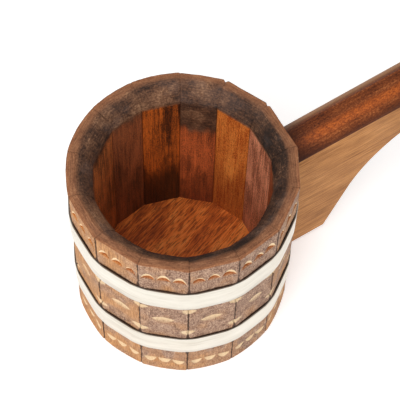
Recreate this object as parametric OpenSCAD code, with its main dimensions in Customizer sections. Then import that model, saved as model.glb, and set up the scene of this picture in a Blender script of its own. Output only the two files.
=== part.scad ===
// Coopered ladle cup: fourteen flat staves round a floor board, held by two
// steel hoops, with a straight board handle dowelled to the widest stave.
// Millimetres. The origin is the centre of the cup's base, +Z is up and the
// handle runs towards +X.

/* [Cup] */
// Height of the cup
cup_h = 131; // [100:1:180]
// Radius of the rim, measured to its outer corners
rim_r = 66; // [62:0.5:80]
// Radius of the base, measured to its outer corners
base_r = 68.6; // [64:0.1:84]
// Thickness of the wall, measured along a stave joint
wall = 14.6; // [12:0.1:18]
// Width of the flat ring on top of the rim
rim_flat = 5; // [3:0.5:7]
// Depth of the sloping burnt edge inside the rim
bevel_h = 10; // [6:0.5:14]
// Width of the handle's stave, as an angle round the cup
handle_stave_angle = 29; // [27:0.5:31]

/* [Floor board] */
// Height of the floor's upper face above the base
floor_top = 8; // [7:0.5:14]
// Thickness of the floor board
floor_t = 6; // [5:0.5:6]
// Depth of the groove that holds the floor board
groove_d = 3; // [2:0.5:5]

/* [Hoops] */
// Width of both hoops
hoop_w = 18; // [14:1:24]
// Thickness of the steel band
hoop_t = 1; // [0.8:0.1:1.5]
// Height of the upper hoop's lower edge
upper_hoop_z = 87.4; // [80:0.1:90]
// Height of the lower hoop's lower edge
lower_hoop_z = 29.4; // [26:0.1:34]
// Depth to which the hoop's seat cuts the stave corners
seat_d = 0.85; // [0.5:0.05:1.2]

/* [Handle] */
// Upward tilt of the handle
handle_tilt = 12.3; // [8:0.1:16]
// Length of the handle, along its top edge
handle_l = 270; // [200:5:320]
// Height of the handle's side edge where it meets the cup
handle_z = 103; // [98:0.5:108]
// Width of the handle at the cup
butt_w = 25.4; // [22:0.2:27]
// Width of the grip
grip_w = 27; // [24:0.5:30]
// Depth of the grip below its side edge
grip_d = 24.5; // [22:0.5:30]
// Rise of the rounded top above the side edge
crown_h = 8; // [4:0.5:10]
// Depth of the web below the side edge
web_d = 101.2; // [90:0.2:101.4]
// Slope of the web's outer edge against the handle
heel_angle = 59.3; // [50:0.1:70]
// Radius of the sweep from the web into the grip
sweep_r = 85; // [60:1:100]
// Distance along the handle at which the sweep ends
sweep_end = 106.7; // [95:0.1:120]
// Radius of the hanging hole
hang_r = 5; // [3:0.5:6]

/* [Hidden] */
// Widths of the other staves, as angles, anticlockwise from the handle's stave.
// They are hand made, so they differ, and the last one closes the ring.
other_angles = [26, 24.5, 26, 25, 28.5, 26, 26.5, 24.5, 24.5, 24.5, 24.5, 26.5];
angles = concat([handle_stave_angle], other_angles, [360 - handle_stave_angle - sum(other_angles)]);
stave_count = len(angles);

// How far the radius grows for each millimetre down from the rim
taper = (base_r - rim_r) / cup_h;
// Space for the cutting tools to run past a surface
over = 20;
// Width of the base's small outer chamfer
chime_chamfer = 1;
// Rise of the burnt edge's rounded face above a straight slope
bevel_bulge = 1.2;
// Height of the sloping shoulder above and below each hoop's seat
seat_shoulder = 2;
// Clearance round a hoop inside the handle's notches
notch_gap = 0.3;
// Height of the handle's lowest face above the base plane
foot_z = 0.5;
// Radius of the corners at the handle's end
end_r = 12;
// Distance from the handle's end to the hanging hole
hang_inset = 20;
// Hidden dowels: radius, length in the stave, length in the handle and heights
dowel_r = 4;
dowel_in_stave = 8;
dowel_in_handle = 20;
dowel_heights = [14, 59, 77];
// Riveted lap of each hoop: its place and width as angles, and its rivets
lap_at = 95;
lap_angle = 22;
rivet_r = 1.6;
rivet_head_r = 3.2;
rivet_head_h = 1.2;
rivet_offset = 6;
// Radius of the rounded top, from its width and rise
crown_r = (pow(grip_w / 2, 2) + pow(crown_h, 2)) / (2 * crown_h);

function sum(list, i = 0) = i < len(list) ? list[i] + sum(list, i + 1) : 0;
function stave_name(i) = i == 0 ? "handle_stave" : str("stave_", i < 10 ? "0" : "", i);
// Direction of stave i's middle: half of each width between it and the handle
function stave_dir(i) = i == 0 ? 0 : stave_dir(i - 1) + (angles[i - 1] + angles[i]) / 2;
// Radius of the outside and the inside at a height, to the corners
function outer_r(z) = base_r - taper * z;
function inner_r(z) = outer_r(z) - wall;
// Distance of the handle's stave face from the axis at a height
function face_x(z) = outer_r(z) * cos(handle_stave_angle / 2);
// Radius of a hoop's inner face at a height
function seat_r(z) = outer_r(z) - seat_d;

wood = "peru";
burnt = "saddlebrown";
steel = "gainsboro";

// The wall's section, as [radius, height], from the base's inner edge upwards
function stave_section() = concat(
    [
        [inner_r(0), 0],
        [outer_r(0) - chime_chamfer, 0],
        [outer_r(chime_chamfer), chime_chamfer],
        [outer_r(cup_h), cup_h]
    ],
    bevel_curve(),
    [
        [inner_r(floor_top), floor_top],
        [inner_r(floor_top) + groove_d, floor_top],
        [inner_r(floor_top) + groove_d, floor_top - floor_t],
        [inner_r(floor_top - floor_t), floor_top - floor_t]
    ]
);

// The burnt edge: a slope from the rim's flat ring to the inner wall, bulged
function bevel_curve(steps = 6) =
    let (start = [rim_r - rim_flat, cup_h])
    let (end = [inner_r(cup_h - bevel_h), cup_h - bevel_h])
    let (run = end - start)
    let (out = [run[1], -run[0]] / norm(run))
    [for (i = [0:steps]) start + run * i / steps + out * bevel_bulge * sin(180 * i / steps)];

// One stave: a board of the wall's section, mitred at its two joints
module stave(i) {
    half = angles[i] / 2;
    reach = base_r + over;
    color(i % 3 == 0 ? burnt : wood)
        rotate([0, 0, stave_dir(i)])
            difference() {
                intersection() {
                    rotate([90, 0, 0])
                        linear_extrude(height = 2 * reach * sin(half), center = true)
                            polygon([for (p = stave_section()) [p[0] * cos(half), p[1]]]);
                    linear_extrude(height = cup_h)
                        polygon([[0, 0], [reach, -reach * tan(half)], [reach, reach * tan(half)]]);
                }
                hoop_seat(upper_hoop_z);
                hoop_seat(lower_hoop_z);
                if (i == 0) dowel_row();
            }
}

// The turned seat of one hoop, which takes off the stave corners
module hoop_seat(z) {
    top = z + hoop_w;
    rotate_extrude($fn = 96)
        polygon([
            [seat_r(z), z],
            [seat_r(top), top],
            [outer_r(top) + over, top + seat_shoulder * over / seat_d],
            [outer_r(z) + over, z - seat_shoulder * over / seat_d]
        ]);
}

// The floor board: its edge fills the groove in every stave
module floor_board() {
    edge_r = inner_r(floor_top) + groove_d;
    color(burnt)
        translate([0, 0, floor_top - floor_t])
            linear_extrude(height = floor_t)
                polygon([
                    for (i = [0:stave_count - 1])
                        let (a = stave_dir(i) + angles[i] / 2)
                        edge_r * [cos(a), sin(a)]
                ]);
}

// A slightly conical steel band, whose end laps over its start
module hoop(z) {
    color(steel)
        difference() {
            union() {
                seat_cone(z, hoop_t);
                intersection() {
                    seat_cone(z, 2 * hoop_t);
                    translate([0, 0, z]) linear_extrude(height = hoop_w) lap_wedge();
                }
            }
            seat_cone(z, 0);
            rivet_places(z) cylinder(h = 4 * over, r = rivet_r, center = true, $fn = 32);
        }
}

// The solid cone inside a hoop, grown outwards by a thickness
module seat_cone(z, thick) {
    translate([0, 0, z])
        cylinder(h = hoop_w, r1 = seat_r(z) + thick, r2 = seat_r(z + hoop_w) + thick, $fn = 96);
}

// The directions that a hoop's lap covers
module lap_wedge() {
    reach = base_r + over;
    ends = [lap_at - lap_angle / 2, lap_at + lap_angle / 2];
    polygon([[0, 0], for (a = ends) reach * [cos(a), sin(a)]]);
}

// Puts its children at a hoop's two rivets, with +Z pointing outwards
module rivet_places(z) {
    mid = z + hoop_w / 2;
    for (side = [-1, 1])
        rotate([0, 0, lap_at + side * rivet_offset])
            translate([seat_r(mid), 0, mid])
                rotate([0, 90, 0])
                    children();
}

// The rivets of both hoops, each a flush shank under a domed head
module hoop_rivets() {
    cap_r = (pow(rivet_head_r, 2) + pow(rivet_head_h, 2)) / (2 * rivet_head_h);
    color(steel)
        for (z = [upper_hoop_z, lower_hoop_z])
            rivet_places(z) {
                translate([0, 0, 0.3])
                    cylinder(h = 2 * hoop_t, r = rivet_r, $fn = 32);
                translate([0, 0, 2 * hoop_t])
                    intersection() {
                        cylinder(h = rivet_head_h + 1, r = rivet_head_r, $fn = 32);
                        translate([0, 0, rivet_head_h - cap_r]) sphere(r = cap_r, $fn = 48);
                    }
            }
}

// The handle's side view, with the side edge along X and the cup at X = 0
module handle_side() {
    arc_start = [sweep_end - sweep_r * sin(heel_angle), sweep_r * cos(heel_angle) - grip_d - sweep_r];
    heel = [arc_start[0] - (arc_start[1] + web_d) / tan(heel_angle), -web_d];
    difference() {
        polygon([
            [-2 * over, -web_d],
            heel,
            arc_start,
            [sweep_end, -grip_d],
            [handle_l, -grip_d],
            [handle_l, crown_h],
            [-2 * over, crown_h]
        ]);
        translate([sweep_end, -grip_d - sweep_r]) circle(r = sweep_r, $fn = 96);
        translate([handle_l - hang_inset, (crown_h - grip_d) / 2]) circle(r = hang_r, $fn = 48);
        translate([handle_l, -grip_d]) round_corner([-1, 1]);
        translate([handle_l, crown_h]) round_corner([-1, -1]);
    }
}

// What rounding takes off a corner whose body lies towards the given direction
module round_corner(dir) {
    difference() {
        translate([dir[0] > 0 ? -1 : -end_r, dir[1] > 0 ? -1 : -end_r]) square(end_r + 1);
        translate(dir * end_r) circle(r = end_r, $fn = 48);
    }
}

// The handle's top view: it widens from the cup to the grip
module handle_plan() {
    difference() {
        polygon([
            [-2 * over, -butt_w / 2],
            [0, -butt_w / 2],
            [sweep_end, -grip_w / 2],
            [handle_l, -grip_w / 2],
            [handle_l, grip_w / 2],
            [sweep_end, grip_w / 2],
            [0, butt_w / 2],
            [-2 * over, butt_w / 2]
        ]);
        translate([handle_l, -grip_w / 2]) round_corner([-1, 1]);
        translate([handle_l, grip_w / 2]) round_corner([-1, -1]);
    }
}

// The handle's cross-section: straight sides under a rounded top
module handle_cross() {
    translate([-grip_w / 2, -web_d]) square([grip_w, web_d]);
    intersection() {
        translate([0, crown_h - crown_r]) circle(r = crown_r, $fn = 96);
        translate([-grip_w / 2, 0]) square([grip_w, crown_h]);
    }
}

// The handle before it is cut to the cup, in its tilted place
module handle_blank() {
    translate([rim_r, 0, handle_z])
        rotate([0, -handle_tilt, 0])
            intersection() {
                rotate([90, 0, 0]) linear_extrude(height = 2 * grip_w, center = true) handle_side();
                translate([0, 0, -2 * web_d]) linear_extrude(height = 3 * web_d) handle_plan();
                translate([-2 * over, 0, 0])
                    rotate([90, 0, 90])
                        linear_extrude(height = handle_l + 3 * over) handle_cross();
            }
}

// What the cup takes off the handle's butt, between two heights and to a depth
module butt_cut(low, high, depth) {
    rotate([90, 0, 0])
        linear_extrude(height = 2 * grip_w, center = true)
            polygon([
                [0, low],
                [face_x(low) + depth, low],
                [face_x(high) + depth, high],
                [0, high]
            ]);
}

module handle() {
    notch = seat_r(upper_hoop_z) + hoop_t - face_x(upper_hoop_z) + notch_gap;
    color(wood)
        difference() {
            handle_blank();
            butt_cut(-over, cup_h + over, 0);
            for (z = [upper_hoop_z, lower_hoop_z])
                butt_cut(z - notch_gap, z + hoop_w + notch_gap, notch);
            translate([0, -grip_w, -over]) cube([rim_r + handle_l, 2 * grip_w, over + foot_z]);
            dowel_row();
        }
}

// The hidden dowels, level, from inside the stave to inside the handle
module dowel_row() {
    for (z = dowel_heights)
        translate([face_x(z) - dowel_in_stave, 0, z])
            rotate([0, 90, 0])
                cylinder(h = dowel_in_stave + dowel_in_handle, r = dowel_r, $fn = 48);
}

module handle_dowels() {
    color("tan") dowel_row();
}

for (i = [0:stave_count - 1])
    stave(i);
floor_board();
hoop(upper_hoop_z);  // upper_hoop
hoop(lower_hoop_z);  // lower_hoop
hoop_rivets();
handle();
handle_dowels();
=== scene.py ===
import math
from itertools import product

import bmesh
import bpy
import numpy as np
from mathutils import Matrix, Vector


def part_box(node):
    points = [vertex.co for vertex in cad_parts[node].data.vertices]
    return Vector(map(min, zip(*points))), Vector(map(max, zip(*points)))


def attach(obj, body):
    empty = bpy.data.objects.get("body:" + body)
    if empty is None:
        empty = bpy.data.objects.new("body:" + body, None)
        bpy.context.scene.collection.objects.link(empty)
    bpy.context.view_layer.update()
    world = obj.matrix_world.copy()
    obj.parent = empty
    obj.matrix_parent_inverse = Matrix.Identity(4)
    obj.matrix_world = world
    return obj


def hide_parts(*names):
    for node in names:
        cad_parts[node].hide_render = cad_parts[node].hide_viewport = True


# Looks of a coopered ladle cup: fourteen hand-cut staves, a floor board, two
# riveted steel hoops and a board handle. Lengths are in millimetres while a
# shape is worked out, and become metres when its mesh is made.

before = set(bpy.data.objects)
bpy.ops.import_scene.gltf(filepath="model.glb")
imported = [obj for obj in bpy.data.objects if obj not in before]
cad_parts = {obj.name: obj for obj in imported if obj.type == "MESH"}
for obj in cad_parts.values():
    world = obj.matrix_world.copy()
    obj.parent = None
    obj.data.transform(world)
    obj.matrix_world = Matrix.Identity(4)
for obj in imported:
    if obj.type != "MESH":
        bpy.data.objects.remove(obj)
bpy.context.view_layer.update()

MM = 0.001

# ---------------------------------------------------------------- cup sizes
WALL = 14.6               # wall, between the outer and inner corners
RIM_FLAT = 5.0            # flat ring on top of the rim
BEVEL_H = 10.0            # height of the burnt slope inside the rim
BEVEL_BULGE = 1.2         # rise of its rounded face
GROOVE_D = 3.0            # groove for the floor board
CHIME = 1.0               # chamfer round the base
SEAT_SHOULDER = 2.0       # slope above and below a hoop's seat
SEAT_GAP = 0.03           # clearance between a stave and its hoop's seat
JOINT_GAP = 0.02          # clearance at each stave joint
JOINT_EASE = 0.55         # how deep a stave's outer corners are eased
JOINT_EASE_W = 0.9        # and how wide
STAND_BACK = 0.4          # how far back a stave's outer face may stand

# ----------------------------------------------------- wear of rim and foot
ROUNDING = 0.9            # how far the slope's facets are rubbed towards a circle
# Staves that keep a straight edge where the slope meets the inner wall
FLAT_TOPPED = ("handle_stave", "stave_01", "stave_02", "stave_03", "stave_04", "stave_05")
FLAT_TOP, ROUND_TOP = 0.75, 0.3     # how straight that edge is, on these and the others
# How round the rim's outer edge is worn, at the staves where it isn't straight
ROUND_TOPS = {"stave_02": 0.35, "stave_03": 0.8, "stave_04": 0.9, "stave_05": 0.9,
              "stave_06": 0.65, "stave_07": 0.3}
RIM_WORN_H = 11           # how far down from the rim that wear reaches
FOOT_ROUND = 0.7          # how round the foot is worn, on all but the handle's stave
FOOT_WORN_H = 7           # and how far up that reaches
CHIPPED_JOINTS = (14.5, 40.5)   # directions of two joints with a chip at the rim
CHIP_W = 1.6              # half the chip's width
CHIP_D = 1.5              # and its depth

# ------------------------------------------------------------ hoops, handle
HOOPS = ("upper_hoop", "lower_hoop")
HOOP_T = 1.0              # thickness of a hoop
HOOP_EDGE = 0.22          # rounding of its edges
HOOP_STEPS = 420          # how many lengths it is made of
HOOP_HUG = 0.75           # share of the gap over a flat stave that it closes
LAP_MID, LAP_HALF, LAP_RISE = (math.radians(a) for a in (95, 11, 6))
LAP_CLEAR = 0.2           # angle over which it turns from round to hugging
HANDLE_TILT = math.radians(12.3)
HANDLE_ROOT = Vector((66 * MM, 0, 103 * MM))    # where its side edges meet the cup
HANDLE_EASE = 0.45        # bevel of its sharp edges


def node_points(name):
    """A CAD node's vertices, in millimetres."""
    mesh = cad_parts[name].data
    points = np.empty(len(mesh.vertices) * 3, np.float32)
    mesh.vertices.foreach_get("co", points)
    return points.reshape(-1, 3).astype(float) / MM


def stave_names():
    """The staves, anticlockwise from the handle's own."""
    numbered = sorted(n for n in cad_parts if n.startswith("stave_"))
    return ["handle_stave"] + numbered


def stave_span(name):
    """Direction of a stave's middle and half of its width, as angles."""
    p = node_points(name)
    plane = p[:, 0] + 1j * p[:, 1]
    middle = plane.mean()
    turn = np.angle(plane / middle)
    return np.angle(middle) + (turn.max() + turn.min()) / 2, (turn.max() - turn.min()) / 2


def cup_measures():
    """The cup's and hoops' main sizes, read from the CAD nodes."""
    p = node_points("stave_01")
    radius = np.hypot(p[:, 0], p[:, 1])
    top = p[:, 2].max()
    rim = radius[p[:, 2] > top - 0.01].max()
    base = radius.max()
    low = p[np.argmax(radius), 2]
    hoops = []
    for name in HOOPS:
        z = node_points(name)[:, 2]
        hoops.append((z.min(), z.max()))
    upper = node_points(HOOPS[0])
    seat = np.hypot(*upper[:, :2].T)
    z = upper[:, 2]
    inner = seat[z < z.min() + 0.01].min()
    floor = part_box("floor_board")
    taper = (base - rim) / (top - low)
    return {
        "height": top,
        "rim": rim,
        "taper": taper,
        "hoops": hoops,
        "seat": rim + taper * (top - z.min()) - inner,
        "floor_top": floor[1].z / MM,
        "floor_low": floor[0].z / MM,
    }


CUP = cup_measures()


def outer_r(z):
    """Radius of the cup's outer corners at a height."""
    return CUP["rim"] + CUP["taper"] * (CUP["height"] - z)


def inner_r(z):
    """Radius of its inner corners at a height."""
    return outer_r(z) - WALL


# ------------------------------------------------------------ small tools
def smooth_noise(points, size, seed):
    """Value noise from -1 to 1 at 3-D points, with cells of the given size."""
    q = points / np.asarray(size, float)
    cell = np.floor(q).astype(np.int64)
    f = q - cell
    f = f * f * (3 - 2 * f)
    total = np.zeros(len(q))
    for corner in product((0, 1), repeat=3):
        c = cell + corner
        h = c[:, 0] * 73856093 ^ c[:, 1] * 19349663 ^ c[:, 2] * 83492791 ^ seed * 2654435761
        h = (h ^ (h >> 13)) * 1274126177
        value = ((h ^ (h >> 16)) & 0xFFFF) / 0xFFFF * 2 - 1
        weight = np.prod(np.where(corner, f, 1 - f), axis=1)
        total += weight * value
    return total


def ramp01(x, low, high):
    """Smooth step from 0 at low to 1 at high."""
    t = np.clip((x - low) / (high - low), 0, 1)
    return t * t * (3 - 2 * t)


def new_object(name, points_mm, faces, smooth_angle=35):
    """A smooth-shaded object from points in millimetres."""
    mesh = bpy.data.meshes.new(name)
    mesh.from_pydata((np.asarray(points_mm) * MM).tolist(), [], faces)
    mesh.validate()
    mesh.polygons.foreach_set("use_smooth", [True] * len(mesh.polygons))
    mesh.set_sharp_from_angle(angle=math.radians(smooth_angle))
    mesh.update()
    obj = bpy.data.objects.new(name, mesh)
    bpy.context.scene.collection.objects.link(obj)
    return obj


def set_attribute(obj, name, values, kind="FLOAT", domain="POINT"):
    """Stores one value for each point or face, for the shaders to read."""
    attribute = obj.data.attributes.new(name, kind, domain)
    key = "vector" if kind == "FLOAT_VECTOR" else "value"
    attribute.data.foreach_set(key, np.asarray(values, np.float32).ravel())


# ---------------------------------------------------------------- shaders
class Shader:
    """A material's node tree, with short names for the nodes used here."""

    def __init__(self, name):
        self.material = bpy.data.materials.new(name)
        self.material.use_nodes = True
        self.tree = self.material.node_tree
        self.tree.nodes.clear()
        self.bsdf = self.tree.nodes.new("ShaderNodeBsdfPrincipled")
        output = self.tree.nodes.new("ShaderNodeOutputMaterial")
        self.tree.links.new(self.bsdf.outputs[0], output.inputs[0])

    def put(self, socket, value):
        """Links a socket, or sets its plain value."""
        if isinstance(value, bpy.types.NodeSocket):
            self.tree.links.new(value, socket)
        else:
            socket.default_value = value

    def attribute(self, name, output="Fac"):
        node = self.tree.nodes.new("ShaderNodeAttribute")
        node.attribute_name = name
        return node.outputs[output]

    def place(self):
        """Where the point lies on its own object, in metres."""
        return self.tree.nodes.new("ShaderNodeTexCoord").outputs["Object"]

    def parts_of(self, vector):
        """A vector's x, y and z."""
        node = self.tree.nodes.new("ShaderNodeSeparateXYZ")
        self.put(node.inputs[0], vector)
        return node.outputs

    def roughness(self, base, fibres):
        """Roughness round a base value, a little uneven along the fibres."""
        uneven = self.maths("MULTIPLY", self.maths("SUBTRACT", fibres, 0.5), 0.3)
        self.put(self.bsdf.inputs["Roughness"], self.maths("ADD", base, uneven, clamp=True))

    def stretch(self, vector, scale, turn=(0, 0, 0)):
        node = self.tree.nodes.new("ShaderNodeMapping")
        self.put(node.inputs["Vector"], vector)
        node.inputs["Scale"].default_value = scale
        node.inputs["Rotation"].default_value = turn
        return node.outputs[0]

    def noise(self, vector, scale, detail=4.0, rough=0.55, distort=0.0):
        node = self.tree.nodes.new("ShaderNodeTexNoise")
        self.put(node.inputs["Vector"], vector)
        node.inputs["Scale"].default_value = scale
        node.inputs["Detail"].default_value = detail
        node.inputs["Roughness"].default_value = rough
        node.inputs["Distortion"].default_value = distort
        return node.outputs["Fac"]

    def ramp(self, factor, *stops):
        """Colour ramp from (place, colour) stops."""
        node = self.tree.nodes.new("ShaderNodeValToRGB")
        self.put(node.inputs[0], factor)
        elements = node.color_ramp.elements
        while len(elements) < len(stops):
            elements.new(0.5)
        for element, (place, colour) in zip(elements, stops):
            element.position = place
            element.color = (*colour, 1)
        return node.outputs[0]

    def mix(self, factor, a, b, blend="MIX"):
        node = self.tree.nodes.new("ShaderNodeMix")
        node.data_type = "RGBA"
        node.blend_type = blend
        self.put(node.inputs[0], factor)
        self.put(node.inputs[6], a if isinstance(a, bpy.types.NodeSocket) else (*a, 1))
        self.put(node.inputs[7], b if isinstance(b, bpy.types.NodeSocket) else (*b, 1))
        return node.outputs[2]

    def maths(self, operation, a, b=0.0, clamp=False):
        node = self.tree.nodes.new("ShaderNodeMath")
        node.operation = operation
        node.use_clamp = clamp
        self.put(node.inputs[0], a)
        self.put(node.inputs[1], b)
        return node.outputs[0]

    def between(self, value, low, high, out_low=0.0, out_high=1.0):
        node = self.tree.nodes.new("ShaderNodeMapRange")
        node.interpolation_type = "SMOOTHSTEP"
        self.put(node.inputs["Value"], value)
        node.inputs["From Min"].default_value = low
        node.inputs["From Max"].default_value = high
        node.inputs["To Min"].default_value = out_low
        node.inputs["To Max"].default_value = out_high
        return node.outputs[0]

    def bump(self, height, depth_mm, strength=1.0, under=None):
        node = self.tree.nodes.new("ShaderNodeBump")
        node.inputs["Distance"].default_value = depth_mm * MM
        node.inputs["Strength"].default_value = strength
        self.put(node.inputs["Height"], height)
        if under is not None:
            self.put(node.inputs["Normal"], under)
        return node.outputs[0]


def rgb(r, g, b):
    """A colour given as it looks on a screen, from 0 to 255, made linear."""
    def linear(c):
        c /= 255
        return c / 12.92 if c <= 0.04045 else ((c + 0.055) / 1.055) ** 2.4
    return linear(r), linear(g), linear(b)


# ----------------------------------------------------------- stave shapes
# How each stave looks. Inside: its dark and light wood, how dark the foot of the
# wall is, how streaky it is, and how far below the slope the burning reaches. On
# the slope: how black it is, and how wide the unburnt ring outside it is. On the
# outside: how warm its tan is.
STAVES = {
    "handle_stave": dict(dark=rgb(140, 82, 60), light=rgb(250, 164, 124),
                         foot=0.1, streak=0.7, burn=0, soot=1.0, ring=4.2, warm=0.4),
    "stave_01": dict(dark=rgb(180, 76, 25), light=rgb(255, 152, 70),
                     foot=0.35, streak=0.6, burn=0, soot=0.35, ring=4.4, warm=0.3),
    "stave_02": dict(dark=rgb(112, 58, 36), light=rgb(214, 108, 58),
                     foot=0.45, streak=0.7, burn=27, soot=0.35, ring=3.4, warm=0.3),
    "stave_03": dict(dark=rgb(72, 40, 26), light=rgb(206, 104, 40),
                     foot=0.85, streak=1.0, burn=0, soot=0.3, ring=3.2, warm=0.3),
    "stave_04": dict(dark=rgb(90, 56, 41), light=rgb(174, 102, 64),
                     foot=0.25, streak=0.8, burn=3, soot=0.5, ring=3.8, warm=0.4),
    "stave_05": dict(dark=rgb(104, 70, 46), light=rgb(222, 134, 76),
                     foot=0.2, streak=0.9, burn=4, soot=0.55, ring=4.0, warm=0.5),
    "stave_06": dict(dark=rgb(110, 62, 38), light=rgb(206, 116, 60),
                     foot=0.3, streak=0.8, burn=2, soot=0.4, ring=4.2, warm=0.9),
    "stave_07": dict(dark=rgb(96, 50, 31), light=rgb(185, 94, 48),
                     foot=0.3, streak=0.7, burn=2, soot=0.25, ring=4.6, warm=1.0),
    "stave_08": dict(dark=rgb(110, 60, 38), light=rgb(197, 110, 62),
                     foot=0.3, streak=0.8, burn=4, soot=0.45, ring=5.0, warm=0.75),
    "stave_09": dict(dark=rgb(96, 50, 34), light=rgb(197, 98, 48),
                     foot=0.3, streak=0.7, burn=1, soot=0.8, ring=5.2, warm=0.25),
    "stave_10": dict(dark=rgb(84, 46, 29), light=rgb(180, 91, 46),
                     foot=0.3, streak=0.8, burn=7, soot=1.0, ring=5.2, warm=0.12),
    "stave_11": dict(dark=rgb(110, 58, 31), light=rgb(211, 110, 53),
                     foot=0.3, streak=0.6, burn=2, soot=1.0, ring=5.0, warm=0.08),
    "stave_12": dict(dark=rgb(86, 48, 34), light=rgb(175, 91, 50),
                     foot=0.3, streak=0.9, burn=3, soot=0.75, ring=4.8, warm=0.5),
    "stave_13": dict(dark=rgb(98, 53, 34), light=rgb(187, 98, 58),
                     foot=0.3, streak=0.8, burn=2, soot=1.0, ring=4.4, warm=0.5),
}

# Gouge marks on a stave's outer face: rows of crescents, one lens-shaped scoop
# halfway up, and nicks at the corners
CRESCENT_W, CRESCENT_H, CRESCENT_D = 7.8, 6.0, 2.1
CRESCENT_STEP = 0.325     # distance between crescents, as a share of the stave
UPPER_MARK_Z = 116.6      # straight edge of the crescents above the upper hoop
LOWER_MARK_Z = 14.0       # and of those below the lower hoop
LENS_Z, LENS_W = 69.0, 12.2
NICK_L, NICK_H, NICK_D = 5.5, 3.0, 1.1
NICK_BELOW_HOOP = 4.4     # distance of the corner nicks from the upper hoop
NICK_ABOVE_HOOP = 7.6     # and from the lower one
FINE = 0.34               # grid step where the marks are


def spaced(low, high, step):
    """Even levels from low up to, but not including, high."""
    count = max(1, round((high - low) / step))
    return [low + (high - low) * k / count for k in range(count)]


def outer_levels():
    """Heights of the outer face's rows, close together at the marks."""
    (u0, u1), (l0, l1) = CUP["hoops"]
    shoulder = SEAT_SHOULDER
    top = CUP["height"]
    rows = [0.0] + spaced(CHIME, LOWER_MARK_Z - CRESCENT_H - 2, 1.6)
    rows += spaced(LOWER_MARK_Z - CRESCENT_H - 2, LOWER_MARK_Z + 1, FINE)
    rows += spaced(LOWER_MARK_Z + 1, l0 - shoulder, 1.2) + spaced(l0 - shoulder, l0, 0.7)
    rows += spaced(l0, l1, 3) + spaced(l1, l1 + shoulder, 0.7)
    rows += spaced(l1 + shoulder, u0 - shoulder, 0.5) + spaced(u0 - shoulder, u0, 0.7)
    rows += spaced(u0, u1, 3) + spaced(u1, u1 + shoulder, 0.7)
    rows += spaced(u1 + shoulder, UPPER_MARK_Z - 1, 1.2)
    rows += spaced(UPPER_MARK_Z - 1, UPPER_MARK_Z + CRESCENT_H + 2, FINE)
    rows += spaced(UPPER_MARK_Z + CRESCENT_H + 2, top - 1.5, 1.0)
    rows += spaced(top - 1.5, top, 0.3)
    # the crescents' straight edges need a row close to each side
    edge = 0.04
    for z, side in ((UPPER_MARK_Z, 1), (LOWER_MARK_Z, -1)):
        rows = [r for r in rows if abs(r - z) > 0.2] + [z + edge * side, z - edge * side]
    return sorted(rows)


def section():
    """The wall's section as rows of (radius, height, part), round and closed."""
    top = CUP["height"]
    rows = [(outer_r(z) - max(0, CHIME - z), z, "outer") for z in outer_levels()]
    rim_in = CUP["rim"] - RIM_FLAT
    rows += [(r, top, "rim") for r in np.linspace(CUP["rim"], rim_in, 13)[:-1]]
    low = top - BEVEL_H
    start, end = np.array([rim_in, top]), np.array([inner_r(low), low])
    run = end - start
    out = np.array([run[1], -run[0]]) / np.hypot(*run)
    for t in np.linspace(0, 1, 22):
        p = start + run * t + out * BEVEL_BULGE * math.sin(math.pi * t)
        rows.append((p[0], p[1], "bevel"))
    floor = CUP["floor_top"]
    wall = reversed(spaced(floor, low - 0.3, 2.2))
    rows += [(inner_r(z), z, "inner") for z in wall]
    deep = inner_r(floor) + GROOVE_D
    rows += [(r, floor, "groove") for r in np.linspace(inner_r(floor), deep, 3)[1:]]
    rows += [(deep, CUP["floor_low"], "groove")]
    rows += [(inner_r(CUP["floor_low"]), CUP["floor_low"], "groove")]
    rows += [(r, 0, "end") for r in np.linspace(inner_r(0), outer_r(0) - CHIME, 9)[:-1]]
    return rows


def thumbnail(y, z, centre, chord, side, width, height, depth):
    """Depth of one gouge cut: it starts at an arc and ends at a straight stop."""
    across = y - centre
    round_r = ((width / 2) ** 2 + depth ** 2) / (2 * depth)
    bowl = np.sqrt(np.maximum(round_r ** 2 - across ** 2, 0)) - (round_r - depth)
    past = (z - chord) * side
    cut = np.maximum(0, bowl - depth / height * past)
    return np.where((past > 0) & (np.abs(across) < width / 2), cut, 0)


def lens(y, z, centre, level, width, up, down, depth):
    """Depth of one long shallow scoop, steep above and fading below."""
    across = np.clip(1 - ((y - centre) / (width / 2)) ** 2, 0, 1)
    rise = z - level
    above = np.clip(1 - rise / np.maximum(up * across, 1e-6), 0, 1)
    below = np.clip(1 + rise / np.maximum(down * across, 1e-6), 0, 1)
    return depth * across * np.where(rise > 0, above, below ** 1.2)


def nick(away, z, level, length, height, depth):
    """Depth of a half-lens cut across a stave corner."""
    share = np.clip(1 - away / length, 0, 1)
    half = height * share ** 0.42
    return depth * share * np.clip(1 - ((z - level) / np.maximum(half, 1e-6)) ** 2, 0, 1)


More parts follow.
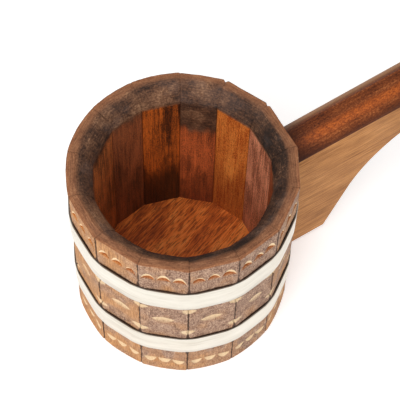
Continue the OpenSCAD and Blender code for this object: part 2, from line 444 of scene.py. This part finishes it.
def carve(y, z, half_width, rng):
    """Depth of all cuts on a stave's outer face, and how fresh their wood looks."""
    (u0, _), (_, l1) = CUP["hoops"]
    width = 2 * half_width.mean()
    cut = np.zeros_like(y)
    fresh = np.zeros_like(y)
    marks = []
    for k in (-1, 0, 1):
        for chord, side in ((UPPER_MARK_Z, 1), (LOWER_MARK_Z, -1)):
            centre = k * CRESCENT_STEP * width + rng.uniform(-0.4, 0.4)
            size = rng.uniform(0.92, 1.08)
            depth = CRESCENT_D * rng.uniform(0.85, 1.1)
            marks.append(thumbnail(y, z, centre, chord, side, CRESCENT_W * size,
                                   CRESCENT_H * size * rng.uniform(0.9, 1.1), depth))
    for mark in marks:
        cut = np.maximum(cut, mark)
        fresh = np.maximum(fresh, ramp01(mark, 0.0, 0.12))
    fresh = fresh * np.where(z < LOWER_MARK_Z + 1, 0.8, 1)
    wide = LENS_W * rng.uniform(0.85, 1.2)
    level = LENS_Z + rng.uniform(-1.5, 1.5) + y * rng.uniform(-0.08, 0.08)
    scoop = lens(y, z, rng.uniform(-1.5, 1.5), level, wide,
                 rng.uniform(2.5, 4), rng.uniform(4, 7), rng.uniform(0.8, 1.15))
    cut = np.maximum(cut, scoop)
    paler_above = 0.15 + 0.6 * ramp01(z, level - 4, level + 0.3)
    fresh = np.maximum(fresh, ramp01(scoop, 0.03, 0.2) * paler_above)
    for level in (u0 - NICK_BELOW_HOOP, l1 + NICK_ABOVE_HOOP):
        for end in (-1, 1):
            away = half_width - end * y
            mark = nick(away, z, level + rng.uniform(-0.8, 0.8), NICK_L * rng.uniform(0.75, 1.3),
                        NICK_H * rng.uniform(0.8, 1.2), NICK_D * rng.uniform(0.8, 1.2))
            cut = np.maximum(cut, mark)
            fresh = np.maximum(fresh, ramp01(mark, 0.03, 0.3) * 0.72)
    return cut, fresh


def stave_columns(half_width):
    """Places across a stave from -1 to 1, closest at its two corners."""
    inner = 1 - 1.4 / half_width
    middle = np.linspace(-inner, inner, 2 * round(inner * half_width / FINE) + 1)
    corner = 1 - np.array([1.05, 0.75, 0.5, 0.3, 0.15, 0.05, 0]) / half_width
    return np.concatenate([-corner[::-1], middle, corner])


def make_stave(name, order):
    """One stave: a closed grid, pushed in wherever wood has been taken off."""
    middle, half = stave_span(name)
    top = CUP["height"]
    slope_foot = top - BEVEL_H
    rng = np.random.default_rng(100 + order)
    rows = section()
    across = stave_columns(outer_r(0) * math.sin(half))
    radius = np.array([r for r, _, _ in rows])
    height = np.array([z for _, z, _ in rows])
    part = np.array([p for _, _, p in rows])
    n, m = len(rows), len(across)

    # the inward direction of each row in the section's plane
    dr = np.roll(radius, -1) - np.roll(radius, 1)
    dz = np.roll(height, -1) - np.roll(height, 1)
    size = np.hypot(dr, dz)
    in_r, in_z = -dz / size, dr / size

    x = np.repeat(radius * math.cos(half), m).reshape(n, m)
    z = np.repeat(height, m).reshape(n, m)
    y = np.outer(radius * math.sin(half), across)
    half_w = np.repeat(radius * math.sin(half), m).reshape(n, m)
    kind = np.repeat(part, m).reshape(n, m)
    in_r = np.repeat(in_r, m).reshape(n, m)
    in_z = np.repeat(in_z, m).reshape(n, m)

    radius = np.repeat(radius, m)
    x, y, z, half_w, in_r, in_z, kind = (a.ravel() for a in (x, y, z, half_w, in_r, in_z, kind))
    v = np.tile(across, n)
    away = half_w * (1 - np.abs(v))
    outer, rim, bevel, inner = (kind == k for k in ("outer", "rim", "bevel", "inner"))
    spot = np.stack([x, y, z], 1) + rng.uniform(-500, 500, 3)

    cut, fresh = carve(y, z, half_w, rng)
    cut, fresh = cut * outer, fresh * outer
    grain = smooth_noise(spot, (3, 0.55, 28), order)
    broad = smooth_noise(spot, (9, 9, 22), order + 50)
    lump = smooth_noise(spot, (7, 7, 6), order + 80)
    small = smooth_noise(spot, (1.6, 1.6, 1.6), order + 90)

    push = np.zeros(len(x))
    push += outer * (cut + 0.05 * grain + 0.12 * (broad + 1) + 0.02 * small)
    push += bevel * (0.34 * lump + 0.12 * small + 0.12 * grain)
    push += inner * (0.05 * grain + 0.12 * broad)
    push += rim * (0.08 * (1 + small) + 0.2 * (1 + lump))
    # eased corners: outside at the joints and round the rim, less inside
    corner = np.clip(1 - away / JOINT_EASE_W, 0, 1) ** 1.5
    chip = 1 + 0.5 * smooth_noise(spot, (4, 4, 3.5), order + 20)
    push += outer * JOINT_EASE * corner * chip
    push += (rim | bevel) * 0.12 * corner * chip + inner * 0.22 * corner
    push += outer * 0.5 * np.clip(1 - (top - z) / JOINT_EASE_W, 0, 1) ** 2 * chip
    rim_edge = CUP["rim"] * math.cos(half) - x
    drop = rim * 0.4 * np.clip(1 - rim_edge / JOINT_EASE_W, 0, 1) ** 2 * chip

    # the slope is rubbed towards a circle, most of all halfway down
    inwards = CUP["rim"] - radius
    reach = np.clip(inwards / (CUP["rim"] - inner_r(slope_foot)), 0, 1)
    facet = FLAT_TOP if name in FLAT_TOPPED else ROUND_TOP
    rubbed = (rim | bevel) * ramp01(reach, 0.1, 0.5) * (1 - facet * ramp01(reach, 0.7, 1))
    rubbed += inner * (1 - facet) * 0.8 * ramp01(z, slope_foot - 3.5, slope_foot)
    ring = np.sqrt(np.maximum((radius * (1 + math.cos(half)) / 2) ** 2 - y ** 2, 0))
    x = x + ROUNDING * rubbed * (ring - x)
    # some staves' outer edge at the rim is worn fully round, and so is the foot
    at_rim = outer * ramp01(z, top - RIM_WORN_H, top - 1)
    at_rim += (rim | bevel) * (1 - ramp01(reach, 0.1, 0.6))
    worn = ROUND_TOPS.get(name, 0) * at_rim
    if name != "handle_stave":
        at_foot = outer * ramp01(FOOT_WORN_H - z, 0, FOOT_WORN_H - 1)
        at_foot += (kind == "end") * ramp01(radius, outer_r(0) - FOOT_WORN_H, outer_r(0) - 1)
        worn += FOOT_ROUND * at_foot
    full = np.sqrt(np.maximum(radius ** 2 - y ** 2, 0))
    x = x + worn * np.maximum(full - x, 0)
    # staves stand a little in or out, and two joints are chipped at the rim
    edge = outer * ramp01(z, top - 3.5, top - 0.2)
    edge += (rim | bevel) * ramp01(3.5 - inwards, 0, 3.3)
    chipped = np.zeros(len(x))
    for joint in CHIPPED_JOINTS:
        turned_by = np.arctan2(y, x) + middle - math.radians(joint)
        off = np.abs(np.angle(np.exp(1j * turned_by))) * radius
        chipped = np.maximum(chipped, np.clip(1 - off / CHIP_W, 0, 1))
    x = x - edge * (CHIP_D * chipped) - rng.uniform(0, STAND_BACK) * np.maximum(outer, edge)
    x = x + in_r * push
    z = z + in_z * push - drop
    # the turned seats of the hoops
    hoop_gap_shade = np.zeros(len(x))
    for low, high in CUP["hoops"]:
        outside = np.maximum(np.maximum(low - z, z - high), 0)
        limit = outer_r(np.clip(z, low, high)) - CUP["seat"] * (1 - outside / SEAT_SHOULDER)
        limit = np.where(outside > SEAT_SHOULDER, np.inf, limit)
        turned = np.sqrt(np.maximum(limit ** 2 - y ** 2, 0)) - SEAT_GAP
        x = np.where(outer, np.minimum(x, turned), x)
        # painted shade: the wood under each hoop and in a thin strip just above and below it is
        # darkened, as the shadow of the gap between hoop and stave
        hoop_gap_shade = np.maximum(hoop_gap_shade, outer * ramp01(0.8 + 0.3 * small - outside, 0, 0.5))
    # a stave never leaves its wedge between the two joints
    y = v * (x * math.tan(half) - JOINT_GAP)

    ahead = np.array([math.cos(middle), math.sin(middle)])
    aside = np.array([-math.sin(middle), math.cos(middle)])
    points = np.column_stack([np.stack([x, y], 1) @ np.array([ahead, aside]), z])

    index = np.arange(n * m).reshape(n, m)
    nxt = np.roll(index, -1, axis=0)
    quads = np.stack([index[:, :-1], index[:, 1:], nxt[:, 1:], nxt[:, :-1]], -1).reshape(-1, 4)
    faces = quads.tolist() + [index[:, 0].tolist(), index[::-1, -1].tolist()]
    obj = new_object(name + "_wood", points, faces)

    # what the material needs to know about each point
    shift = rng.uniform(-200, 200, 3)
    set_attribute(obj, "grain", np.stack([y, x, z], 1) + shift, "FLOAT_VECTOR")
    spec = STAVES[name]
    wave = 4 * smooth_noise(spot, (3.5, 3.5, 14), order + 7) + 1.5 * small
    burnt_to = slope_foot - spec["burn"] + wave
    burnt_wall = (spec["burn"] > 0) * inner * ramp01(z, burnt_to - 5, burnt_to + 5)
    start = spec["ring"] + smooth_noise(spot, (6, 9, 9), order + 33) + 0.25 * small
    burnt_slope = 0.35 * ramp01(inwards, 0.6, 3.0) + 0.65 * ramp01(inwards, start, start + 3.2)
    set_attribute(obj, "char", np.clip((rim | bevel) * burnt_slope + burnt_wall, 0, 1))
    around = middle + np.arctan2(y, x)
    round_cup = np.stack([around * inner_r(top), x, z], 1)
    set_attribute(obj, "round_cup", round_cup, "FLOAT_VECTOR")
    middles = [stave_span(other)[0] for other in STAVES]
    soots = [other["soot"] for other in STAVES.values()]
    set_attribute(obj, "soot", np.interp(around, middles, soots, period=2 * math.pi))
    set_attribute(obj, "rim", (rim | bevel) * 1.0 + outer * ramp01(z, top - 0.9, top - 0.2))
    set_attribute(obj, "inside", inner * 1.0)
    set_attribute(obj, "fresh", fresh)
    near_hoop = np.zeros(len(x))
    for low, high in CUP["hoops"]:
        near_hoop = np.maximum(near_hoop, ramp01(7 - np.maximum(low - z, z - high), 0, 6))
    dirt_and_shade = outer * ramp01(0.62 + 0.8 * near_hoop ** 2 + 0.3 * small - away, 0, 0.35)
    dirt_and_shade = np.maximum(dirt_and_shade, (rim | bevel) * 0.45 * np.clip(1 - away / 0.3, 0, 1))
    dirt_and_shade = np.maximum(dirt_and_shade, inner * np.clip(1 - away / 0.3, 0, 1))
    # this mask holds dirt along the joints, and the painted shade along the hoops
    set_attribute(obj, "dirt_and_shade", np.maximum(dirt_and_shade * (1 - fresh), hoop_gap_shade))
    set_attribute(obj, "raw", ((kind == "end") | (kind == "groove")) * 1.0)
    set_attribute(obj, "stop", stop_faces(obj, points, cut, index), domain="FACE")
    obj.data.materials.append(stave_material(name, spec))
    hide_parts(name)
    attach(obj, "root")


def stop_faces(obj, points, cut, index):
    """1 on the quads of the steep stop cuts, 0 elsewhere."""
    n, m = index.shape
    level = points[:, 2].reshape(n, m)
    deep = cut.reshape(n, m)
    thin = np.abs(np.roll(level, -1, axis=0) - level) < 0.15
    step = np.abs(np.roll(deep, -1, axis=0) - deep) > 0.15
    steep = (thin & step)[:, :-1] | (thin & step)[:, 1:]
    values = np.zeros(len(obj.data.polygons))
    values[: n * (m - 1)] = steep.ravel()[: n * (m - 1)]
    return values


def stave_material(name, spec):
    """Burnt, brushed and oiled wood, pale where a gouge has cut it."""
    s = Shader(name + "_finish")
    s.bsdf.inputs["Specular IOR Level"].default_value = 0.3
    grain = s.attribute("grain", "Vector")
    streaks = s.noise(s.stretch(grain, (1, 1, 0.04)), 0.5, 5, 0.6)
    fibres = s.noise(s.stretch(grain, (1, 1, 0.05)), 2.0, 4, 0.65)
    lines = s.noise(s.stretch(grain, (1, 1, 0.018)), 1.1, 5, 0.7)
    pores = s.between(s.noise(s.stretch(grain, (1, 1, 0.1)), 2.2, 3, 0.6), 0.54, 0.66)
    patches = s.noise(s.stretch(grain, (1, 1, 0.3)), 0.09, 3, 0.5, 0.4)
    speckle = s.noise(s.stretch(grain, (1, 1, 0.7)), 1.5, 2, 0.8)
    blotch = s.noise(grain, 0.2, 4, 0.6)
    broad = s.noise(grain, 0.07, 3, 0.5)

    # inside: oiled, streaked along the grain
    tone = s.mix(0.4, s.mix(0.45, patches, streaks), lines)
    tone = s.mix(0.25 + 0.3 * (1 - spec["streak"]), tone, speckle)
    dark, light = spec["dark"], spec["light"]
    deep = tuple(c * 0.45 for c in dark)
    bright = tuple(min(1, c * 1.45) for c in light)
    reach = 0.065 + 0.035 * (1 - spec["streak"])
    inside = s.ramp(tone, (0.5 - 2.2 * reach, deep), (0.5 - 0.8 * reach, dark),
                    (0.5 + 0.5 * reach, light), (0.5 + 2.2 * reach, bright))
    inside = s.mix(s.maths("MULTIPLY", pores, 0.55), inside, deep)
    uneven = s.maths("MULTIPLY", s.maths("SUBTRACT", patches, 0.5), 0.16)
    height = s.maths("ADD", s.parts_of(s.place())[2], uneven)
    inside = s.mix(s.between(height, 0.078, 0.04, 0, spec["foot"]), inside, deep)

    # burnt slope: near black, brown where it is rubbed, brushed round the cup
    place = s.stretch(s.place(), (1 / MM,) * 3)
    brushed = s.noise(s.stretch(s.attribute("round_cup", "Vector"), (0.1, 1, 1)), 1.5, 4, 0.7)
    cloud = s.noise(place, 0.07, 4, 0.55)
    grit = s.noise(place, 0.75, 3, 0.8)
    soot_tone = s.mix(0.35, s.mix(0.4, s.between(cloud, 0.36, 0.64, 0.38, 0.62), brushed), grit)
    rubbed = s.ramp(soot_tone, (0.38, rgb(42, 27, 19)), (0.46, rgb(98, 64, 45)),
                    (0.53, rgb(138, 94, 66)), (0.61, rgb(182, 136, 100)))
    black = s.ramp(soot_tone, (0.4, rgb(22, 15, 12)), (0.49, rgb(48, 32, 23)),
                   (0.56, rgb(82, 55, 39)), (0.63, rgb(150, 112, 84)))
    soot = s.mix(s.attribute("soot"), rubbed, black)
    # pale bluish-grey patches on the slope: a painted sheen of reflected light
    painted_sheen = s.between(s.noise(place, 0.05, 3, 0.5), 0.52, 0.64, 0, 0.15)
    soot = s.mix(painted_sheen, soot, rgb(106, 96, 94))
    # rim and outside: greyish brown, with tan patches and a tan foot
    fine_tone = s.mix(0.65, s.mix(0.5, blotch, fibres), s.mix(0.4, speckle, grit))
    rim = s.ramp(s.mix(0.4, fine_tone, brushed), (0.36, rgb(84, 48, 30)), (0.47, rgb(146, 92, 60)),
                 (0.55, rgb(172, 116, 78)), (0.66, rgb(204, 152, 110)))
    cool = s.ramp(fine_tone, (0.4, rgb(86, 59, 45)), (0.46, rgb(132, 98, 78)),
                  (0.52, rgb(173, 136, 112)), (0.61, rgb(216, 184, 156)))
    tan = s.ramp(s.mix(0.5, fine_tone, fibres), (0.34, rgb(116, 70, 36)), (0.45, rgb(174, 120, 74)),
                 (0.54, rgb(204, 148, 96)), (0.68, rgb(230, 182, 128)))
    warmth = s.between(broad, 0.54 - 0.4 * spec["warm"], 0.99 - 0.4 * spec["warm"])
    warmth = s.maths("ADD", warmth, s.between(height, 0.03, 0.018, 0, 0.4), clamp=True)
    outside = s.mix(warmth, cool, tan)

    char = s.attribute("char")
    colour = s.mix(s.attribute("inside"), outside, inside)
    colour = s.mix(s.attribute("rim"), colour, rim)
    colour = s.mix(char, colour, soot)
    # gouge cuts: cream where they slope in, orange on the steep stop
    cream = s.ramp(fibres, (0.3, rgb(238, 200, 150)), (0.7, rgb(255, 232, 192)))
    orange = s.ramp(fibres, (0.3, rgb(138, 68, 18)), (0.7, rgb(204, 118, 40)))
    colour = s.mix(s.attribute("fresh"), colour, s.mix(s.attribute("stop"), cream, orange))
    # darkened with dirt along the joints and with painted shade in the gap along the hoops
    colour = s.mix(s.maths("MULTIPLY", s.attribute("dirt_and_shade"), 0.9), colour, rgb(58, 32, 17))
    colour = s.mix(s.attribute("raw"), colour, rgb(176, 128, 84))
    s.put(s.bsdf.inputs["Base Color"], colour)

    gloss = s.mix(s.attribute("inside"), (0.72,) * 3, (0.38,) * 3)
    gloss = s.mix(char, gloss, (0.62,) * 3)
    s.roughness(gloss, fibres)
    fine = s.bump(fibres, 0.25, 0.6)
    rough_skin = s.maths("MULTIPLY", s.mix(char, speckle, brushed), s.maths("ADD", char, 0.35))
    s.put(s.bsdf.inputs["Normal"], s.bump(rough_skin, 0.7, 0.7, fine))
    return s.material


# ------------------------------------------------------------------ hoops
def stave_at(angle, spans):
    """Angle from the middle of the stave in a direction, and its half width."""
    found = [(abs(math.remainder(angle - middle, 2 * math.pi)), half) for middle, half in spans]
    return min(found, key=lambda pair: pair[0] - pair[1])


def make_hoop(name, order):
    """A steel strip, once round the cup, whose end lies over its start."""
    low, high = CUP["hoops"][order]
    h, thick, edge, bend = high - low, HOOP_T, HOOP_EDGE, HOOP_EDGE * 0.6
    turn = 2 * math.pi
    start = LAP_MID - LAP_HALF
    rng = np.random.default_rng(300 + order)
    spans = [stave_span(stave) for stave in STAVES]
    # the strip's section as (out, up), with rounded edges
    loop = [(0, edge), (0, h - edge), (bend, h), (thick - bend, h), (thick, h - edge)]
    loop += [(thick, h - edge - (h - 2 * edge) * t) for t in (0.25, 0.5, 0.75)]
    loop += [(thick, edge), (thick - bend, 0), (bend, 0)]
    points, run, on_top = [], [], []
    for k in range(HOOP_STEPS + 1):
        a = start + (turn + 2 * LAP_HALF) * k / HOOP_STEPS
        lift = thick * float(ramp01(a, start + turn - LAP_RISE, start + turn))
        from_lap = abs(math.remainder(a - LAP_MID, turn))
        hug = HOOP_HUG * float(ramp01(from_lap, LAP_HALF, LAP_HALF + LAP_CLEAR))
        wave = 0.05 * math.sin(5 * a + order) + 0.04 * math.sin(11 * a + 2 * order)
        off, half = stave_at(a, spans)
        for out, up in loop:
            z = low + up
            r = outer_r(z) - CUP["seat"]
            gap = max(0, r - outer_r(z) * math.cos(half) / math.cos(off))
            r += out + lift + (wave if out > 0 else 0) - hug * gap
            points.append((r * math.cos(a), r * math.sin(a), z))
            run.append((r * (a - start), out, z))
            # the top edge takes painted shadow, stronger on its inner half
            on_top.append((1.0 if out < thick / 2 else 0.55) * (up > h - edge / 2))
    c = len(loop)
    faces = [(k + j, k + j + c, k + (j + 1) % c + c, k + (j + 1) % c)
             for k in range(0, HOOP_STEPS * c, c) for j in range(c)]
    faces.append(tuple(range(c)))
    faces.append(tuple(HOOP_STEPS * c + j for j in reversed(range(c))))
    obj = new_object(name + "_strip", points, faces, 40)
    set_attribute(obj, "grain", np.array(run) + rng.uniform(0, 50, 3), "FLOAT_VECTOR")
    set_attribute(obj, "shaded_top_edge", np.array(on_top))
    obj.data.materials.append(steel_material(name))
    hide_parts(name)
    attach(obj, "root")


def steel_material(name):
    """Bright rolled strip with faint lengthwise streaks and a few stains."""
    s = Shader(name + "_steel")
    grain = s.attribute("grain", "Vector")
    streaks = s.noise(s.stretch(grain, (0.03, 1, 1)), 1.6, 4, 0.6)
    stains = s.noise(s.stretch(grain, (0.25, 1, 1)), 0.12, 4, 0.6)
    colour = s.ramp(s.mix(0.5, stains, streaks), (0.3, rgb(194, 184, 167)),
                    (0.5, rgb(223, 217, 204)), (0.7, rgb(236, 231, 220)))
    # painted shadow: the upper edge is darkened where the gap between strip and staves shows as a
    # dark line
    colour = s.mix(s.maths("MULTIPLY", s.attribute("shaded_top_edge"), 0.92), colour, rgb(58, 36, 24))
    s.put(s.bsdf.inputs["Base Color"], colour)
    s.bsdf.inputs["Metallic"].default_value = 0.85
    s.put(s.bsdf.inputs["Roughness"], s.between(streaks, 0.2, 0.8, 0.3, 0.48))
    s.put(s.bsdf.inputs["Normal"], s.bump(streaks, 0.05, 0.3))
    return s.material


def rivet_material():
    """The hoops' steel, on rivet heads."""
    s = Shader("rivet_steel")
    spots = s.noise(s.place(), 900, 4, 0.6)
    colour = s.ramp(spots, (0.3, rgb(196, 188, 172)), (0.7, rgb(238, 232, 218)))
    s.put(s.bsdf.inputs["Base Color"], colour)
    s.bsdf.inputs["Metallic"].default_value = 0.9
    s.put(s.bsdf.inputs["Roughness"], s.between(spots, 0.2, 0.8, 0.28, 0.5))
    s.put(s.bsdf.inputs["Normal"], s.bump(spots, 0.05, 0.4))
    return s.material


# ------------------------------------------------------------ floor board
def floor_material():
    """Oiled orange-brown board with dark streaks along its slanting grain."""
    s = Shader("floor_finish")
    s.bsdf.inputs["Specular IOR Level"].default_value = 0.3
    along = s.stretch(s.place(), (1 / MM,) * 3, (0, 0, math.radians(-24)))
    streaks = s.noise(s.stretch(along, (0.07, 1, 1)), 0.45, 5, 0.6, 0.3)
    fibres = s.noise(s.stretch(along, (0.08, 1, 1)), 1.7, 4, 0.65)
    pores = s.between(s.noise(s.stretch(along, (0.13, 1, 1)), 1.1, 3, 0.6), 0.51, 0.6)
    patches = s.noise(s.stretch(along, (0.4, 1, 1)), 0.07, 3, 0.5)
    tone = s.mix(0.8, s.mix(0.8, patches, streaks, "OVERLAY"), fibres, "OVERLAY")
    colour = s.ramp(tone, (0.2, rgb(108, 48, 16)), (0.42, rgb(188, 90, 32)),
                    (0.58, rgb(230, 122, 48)), (0.8, rgb(250, 156, 76)))
    colour = s.mix(s.maths("MULTIPLY", pores, 0.6), colour, rgb(76, 32, 12))
    s.put(s.bsdf.inputs["Base Color"], colour)
    s.put(s.bsdf.inputs["Roughness"], s.between(fibres, 0.3, 0.7, 0.38, 0.55))
    s.put(s.bsdf.inputs["Normal"], s.bump(fibres, 0.3, 0.5))
    return s.material


# ----------------------------------------------------------------- handle
def make_handle():
    """The handle's CAD shape with its edges eased by hand."""
    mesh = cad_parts["handle"].data.copy()
    mesh.name = "handle_wood"
    bm = bmesh.new()
    bm.from_mesh(mesh)
    bmesh.ops.remove_doubles(bm, verts=bm.verts, dist=0.08 * MM)
    bmesh.ops.dissolve_limit(bm, angle_limit=math.radians(0.5), verts=bm.verts, edges=bm.edges)
    sharp = [e for e in bm.edges
             if len(e.link_faces) == 2 and e.calc_face_angle() > math.radians(38)]
    bmesh.ops.bevel(bm, geom=sharp, offset=HANDLE_EASE * MM, segments=3, profile=0.6,
                    affect="EDGES", clamp_overlap=True)
    # the flat sides stay flat; only the rounded parts are shaded smooth
    for face in bm.faces:
        face.smooth = face.calc_area() < 350 * MM * MM
    bmesh.ops.triangulate(bm, faces=[f for f in bm.faces if len(f.verts) > 4])
    bm.normal_update()
    bm.to_mesh(mesh)
    bm.free()
    mesh.set_sharp_from_angle(angle=math.radians(28))
    obj = bpy.data.objects.new("handle_wood", mesh)
    bpy.context.scene.collection.objects.link(obj)
    mesh.materials.clear()
    mesh.materials.append(handle_material())
    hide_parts("handle")
    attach(obj, "root")


def handle_material():
    """One board: planed pale sides, and a burnt and oiled rounded top."""
    s = Shader("handle_finish")
    s.bsdf.inputs["Specular IOR Level"].default_value = 0.16
    # the board's own frame: X along the grip, Z up from its side edge
    move = s.tree.nodes.new("ShaderNodeVectorMath")
    move.operation = "SUBTRACT"
    s.put(move.inputs[0], s.place())
    move.inputs[1].default_value = HANDLE_ROOT
    own = s.stretch(move.outputs[0], (1 / MM,) * 3, (0, HANDLE_TILT, 0))
    x, y, z = s.parts_of(own)
    streaks = s.noise(s.stretch(own, (0.02, 1, 1)), 0.7, 6, 0.62, 0.4)
    fibres = s.noise(s.stretch(own, (0.035, 1, 1)), 2.4, 4, 0.65)
    speckle = s.noise(s.stretch(own, (0.6, 1, 1)), 1.15, 3, 0.85)
    lines = s.between(s.noise(s.stretch(own, (0.02, 1, 1)), 1.3, 3, 0.7), 0.54, 0.64, 0, 0.55)
    patches = s.noise(s.stretch(own, (0.5, 1, 1)), 0.09, 3, 0.55)

    side_tone = s.mix(0.45, s.mix(0.5, patches, streaks), fibres)
    pale = s.ramp(side_tone, (0.36, rgb(126, 80, 46)), (0.46, rgb(172, 117, 70)),
                  (0.55, rgb(198, 139, 84)), (0.66, rgb(222, 166, 110)))
    pale = s.mix(lines, pale, rgb(124, 78, 44))
    top_tone = s.mix(0.5, s.mix(0.6, patches, streaks), speckle)
    burnt = s.ramp(top_tone, (0.38, rgb(46, 21, 9)), (0.46, rgb(92, 43, 18)),
                   (0.54, rgb(122, 60, 26)), (0.64, rgb(174, 102, 54)))
    # an orange stripe along the top and a dark near edge; a pale far edge, a painted highlight
    # where the rounded top turns to the back; and painted shade at the root by the cup
    wander = s.maths("MULTIPLY", patches, 3.0)
    lane = s.maths("ABSOLUTE", s.maths("ADD", s.maths("ADD", y, 3.6), wander))
    stripe = s.between(lane, 4.5, 0.5, 0, 0.6)
    orange = s.ramp(speckle, (0.38, rgb(140, 62, 18)), (0.6, rgb(214, 108, 34)))
    burnt = s.mix(stripe, burnt, orange)
    near = s.between(y, -9.5, -13.0, 0, 0.7)
    burnt = s.mix(near, burnt, rgb(84, 44, 26))
    # painted highlight: the far edge is paler where the top rounds away to the back
    far = s.between(y, 6.0, 10.0, 0, 0.75)
    burnt = s.mix(far, burnt, rgb(172, 124, 84))
    # painted shade: the top darkens towards the cup, where the cup shades it
    root_shade = s.between(x, 26, 2, 0, 0.75)
    burnt = s.mix(root_shade, burnt, rgb(54, 28, 18))
    on_top = s.between(z, 0.12, 0.32)
    colour = s.mix(on_top, pale, burnt)
    s.put(s.bsdf.inputs["Base Color"], colour)
    s.roughness(s.mix(on_top, (0.7,) * 3, (0.5,) * 3), fibres)
    s.put(s.bsdf.inputs["Normal"], s.bump(fibres, 0.25, 0.5))
    return s.material


def dowel_material():
    """Plain beech, its grain along the dowels."""
    s = Shader("dowel_beech")
    along = s.stretch(s.place(), (60, 1000, 1000))
    fibres = s.noise(along, 1.6, 4, 0.6)
    colour = s.ramp(fibres, (0.3, rgb(196, 154, 108)), (0.7, rgb(224, 186, 140)))
    s.put(s.bsdf.inputs["Base Color"], colour)
    s.put(s.bsdf.inputs["Roughness"], s.between(fibres, 0.3, 0.7, 0.55, 0.7))
    return s.material


def dress(node, material):
    """Gives a CAD node that stays in view its material."""
    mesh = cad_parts[node].data
    mesh.materials.clear()
    mesh.materials.append(material)


# ------------------------------------------------------- camera and light
def make_camera():
    """A view from high above the cup's side, slightly rolled."""
    turn, down, roll = math.radians(29.4), math.radians(59.25), math.radians(2.44)
    place = Vector((-0.1477, -0.2825, 0.6312))
    level = Vector((math.sin(turn), math.cos(turn), 0))
    ahead = level * math.cos(down) - Vector((0, 0, math.sin(down)))
    up = level * math.sin(down) + Vector((0, 0, math.cos(down)))
    right = Vector((math.cos(turn), -math.sin(turn), 0))
    x = right * math.cos(roll) + up * math.sin(roll)
    y = up * math.cos(roll) - right * math.sin(roll)
    data = bpy.data.cameras.new("camera")
    data.lens = 96.21
    data.sensor_width = 36
    data.clip_start = 0.01
    camera = bpy.data.objects.new("camera", data)
    bpy.context.scene.collection.objects.link(camera)
    camera.matrix_world = Matrix((
        (x.x, y.x, -ahead.x, place.x),
        (x.y, y.y, -ahead.y, place.y),
        (x.z, y.z, -ahead.z, place.z),
        (0, 0, 0, 1)))
    bpy.context.scene.camera = camera


def add_area(name, place, size, power, aim=(0.05, 0, 0.06)):
    """A square lamp that faces the aim."""
    data = bpy.data.lights.new(name, "AREA")
    data.shape = "SQUARE"
    data.size = size
    data.energy = power
    light = bpy.data.objects.new(name, data)
    bpy.context.scene.collection.objects.link(light)
    light.location = place
    light.rotation_euler = (Vector(aim) - Vector(place)).to_track_quat("-Z", "Y").to_euler()


def make_studio():
    """A pale floor under a white sky and two soft lamps."""
    bpy.ops.mesh.primitive_plane_add(size=12, location=(0, 0, -0.0002))
    floor = bpy.context.object
    floor.name = "studio_floor"
    s = Shader("studio_floor")
    s.bsdf.inputs["Base Color"].default_value = (0.9, 0.9, 0.9, 1)
    s.bsdf.inputs["Roughness"].default_value = 0.9
    s.bsdf.inputs["Emission Color"].default_value = (1, 1, 1, 1)
    s.bsdf.inputs["Emission Strength"].default_value = 0.4
    floor.data.materials.append(s.material)

    world = bpy.data.worlds.new("studio")
    world.use_nodes = True
    world.node_tree.nodes["Background"].inputs[0].default_value = (1, 1, 1, 1)
    world.node_tree.nodes["Background"].inputs[1].default_value = 0.52
    bpy.context.scene.world = world
    add_area("key", (-0.75, -0.55, 1.15), 0.7, 9)
    add_area("overhead", (-0.15, -0.2, 1.5), 0.5, 3.5)
    bpy.context.scene.view_settings.view_transform = "Standard"


make_camera()
for number, stave in enumerate(stave_names()):
    make_stave(stave, number)
for number, hoop in enumerate(HOOPS):
    make_hoop(hoop, number)
make_handle()
dress("floor_board", floor_material())
dress("hoop_rivets", rivet_material())
dress("handle_dowels", dowel_material())
make_studio()
